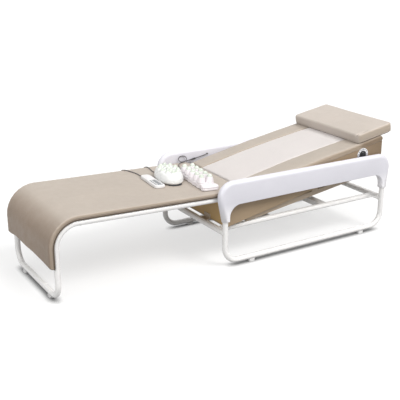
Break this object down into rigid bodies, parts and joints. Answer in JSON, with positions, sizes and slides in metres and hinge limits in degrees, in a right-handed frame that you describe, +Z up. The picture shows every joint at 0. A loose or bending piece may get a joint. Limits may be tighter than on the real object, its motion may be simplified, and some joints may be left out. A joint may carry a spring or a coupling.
{
  "type": "folding massage table",
  "caption": "Folding massage table with a padded leg section on bent white tubes, a sloping upholstered body with an inner roller carriage, armrests, pillow, handset and jade heaters.",
  "frame": {"origin": "on the floor under the middle of the table's length and width", "axes": "+X towards the pillow, +Y towards the side away from the camera, +Z up"},
  "size_m": [1.9935, 0.64, 0.5858],
  "materials": {
    "white_tube": "glossy powder coat",
    "armrest_white": "satin moulded skin",
    "leatherette": "fine grained, matt",
    "side_panel": "fine grained, matt",
    "center_cloth": "smooth woven",
    "pale_paint": "matt paint",
    "steel": "brushed",
    "plywood": "sanded",
    "jade": "polished stone",
    "rubber": "matt",
    "white_plastic": "glossy",
    "grey_keys": "matt",
    "chrome": "polished",
    "dial_black": "matt",
    "motor_grey": "satin",
    "board_green": "satin",
    "heater_brass": "polished"
  },
  "bodies": {
    "base": {"sled_left": "white_tube", "sled_right": "white_tube", "armrest_cover_left": "armrest_white", "armrest_cover_right": "armrest_white", "lower_side_rails": "white_tube", "end_cross_tubes": "white_tube", "mid_cross_tubes": "white_tube", "frame_gussets": "white_tube", "support_beams": "pale_paint", "pan_posts": "white_tube", "body_spacers": "pale_paint", "sled_feet": "white_plastic", "side_shell_left": "side_panel", "side_shell_right": "side_panel", "foot_panel": "side_panel", "head_panel": "side_panel", "base_pan": "side_panel", "top_deck": "plywood", "bulkheads": "steel", "guide_rails": "steel", "body_pad_left": "leatherette", "body_pad_right": "leatherette", "center_panel": "center_cloth", "pillow": "leatherette", "hinge_ears": "steel", "hinge_pins": "steel", "rail_bumpers": "rubber", "drive_belt": "rubber", "gear_motor": "motor_grey", "control_board": "board_green", "power_supply": "steel", "dial_ring": "chrome", "armrest_lead": "rubber"},
    "leg_section": {"leg_frame": "white_tube", "leg_cross_tubes": "white_tube", "leg_deck": "plywood", "leg_mat": "leatherette", "leg_feet": "white_plastic", "leg_hinge_plates": "steel", "handset_case": "white_plastic", "disc_case": "white_plastic", "disc_jades": "jade", "bar_case": "white_plastic", "bar_jades": "jade", "socket_box": "white_plastic", "handset_cord": "rubber", "disc_cord": "rubber", "bar_cord": "rubber"},
    "carriage": {"carriage_plate": "steel", "heater_tubes": "heater_brass"},
    "front_wheelset": {"front_wheelset": "rubber"},
    "rear_wheelset": {"rear_wheelset": "rubber"},
    "front_jade_rollers": {"front_jade_rollers": "jade"},
    "rear_jade_rollers": {"rear_jade_rollers": "jade"},
    "drive_pulley": {"drive_pulley": "grey_keys"},
    "idler_pulley": {"idler_pulley": "grey_keys"},
    "dial_knob": {"dial_knob": "dial_black"},
    "handset_key_up": {"handset_key_up": "grey_keys"},
    "handset_key_mode": {"handset_key_mode": "grey_keys"},
    "handset_key_down": {"handset_key_down": "grey_keys"}
  },
  "joints": [
    {"name": "leg_fold", "type": "hinge", "parent": "base", "child": "leg_section", "pos_m": [0.04, 0, 0.366], "axis": [0, 1, 0], "range_deg": [0, 95], "deforming": ["bar_cord"]},
    {"name": "carriage_slide", "type": "slide", "parent": "base", "child": "carriage", "axis": [0.9857, 0, 0.1685], "range_m": [0, 0.46]},
    {"name": "front_wheelset_spin", "type": "hinge", "parent": "carriage", "child": "front_wheelset", "pos_m": [0.14117, 0, 0.33074], "axis": [0, 1, 0], "continuous": true},
    {"name": "rear_wheelset_spin", "type": "hinge", "parent": "carriage", "child": "rear_wheelset", "pos_m": [0.27404, 0, 0.35345], "axis": [0, 1, 0], "continuous": true},
    {"name": "front_jade_rollers_spin", "type": "hinge", "parent": "carriage", "child": "front_jade_rollers", "pos_m": [0.15841, 0, 0.3628], "axis": [0, 1, 0], "continuous": true},
    {"name": "rear_jade_rollers_spin", "type": "hinge", "parent": "carriage", "child": "rear_jade_rollers", "pos_m": [0.24712, 0, 0.37797], "axis": [0, 1, 0], "continuous": true},
    {"name": "drive_pulley_spin", "type": "hinge", "parent": "base", "child": "drive_pulley", "pos_m": [0.86586, 0, 0.41992], "axis": [0, 1, 0], "continuous": true},
    {"name": "idler_pulley_spin", "type": "hinge", "parent": "base", "child": "idler_pulley", "pos_m": [0.11775, 0, 0.29204], "axis": [0, 1, 0], "continuous": true},
    {"name": "dial_turn", "type": "hinge", "parent": "base", "child": "dial_knob", "pos_m": [0.793, -0.275, 0.43571], "axis": [0, -1, 0], "range_deg": [0, 270]},
    {"name": "handset_key_up_press", "type": "slide", "parent": "leg_section", "child": "handset_key_up", "axis": [-0.0358, 0, -0.9994], "range_m": [0, 0.001], "stiffness_N_per_m": 300, "springref_m": -0.001},
    {"name": "handset_key_mode_press", "type": "slide", "parent": "leg_section", "child": "handset_key_mode", "axis": [-0.0358, 0, -0.9994], "range_m": [0, 0.001], "stiffness_N_per_m": 300, "springref_m": -0.001},
    {"name": "handset_key_down_press", "type": "slide", "parent": "leg_section", "child": "handset_key_down", "axis": [-0.0358, 0, -0.9994], "range_m": [0, 0.001], "stiffness_N_per_m": 300, "springref_m": -0.001}
  ],
  "couplings": [
    {"joint": "front_wheelset_spin", "follows": "carriage_slide", "rad_per_m": 76.923},
    {"joint": "rear_wheelset_spin", "follows": "carriage_slide", "rad_per_m": 76.923},
    {"joint": "drive_pulley_spin", "follows": "carriage_slide", "rad_per_m": 52.632},
    {"joint": "idler_pulley_spin", "follows": "carriage_slide", "rad_per_m": 52.632}
  ]
}
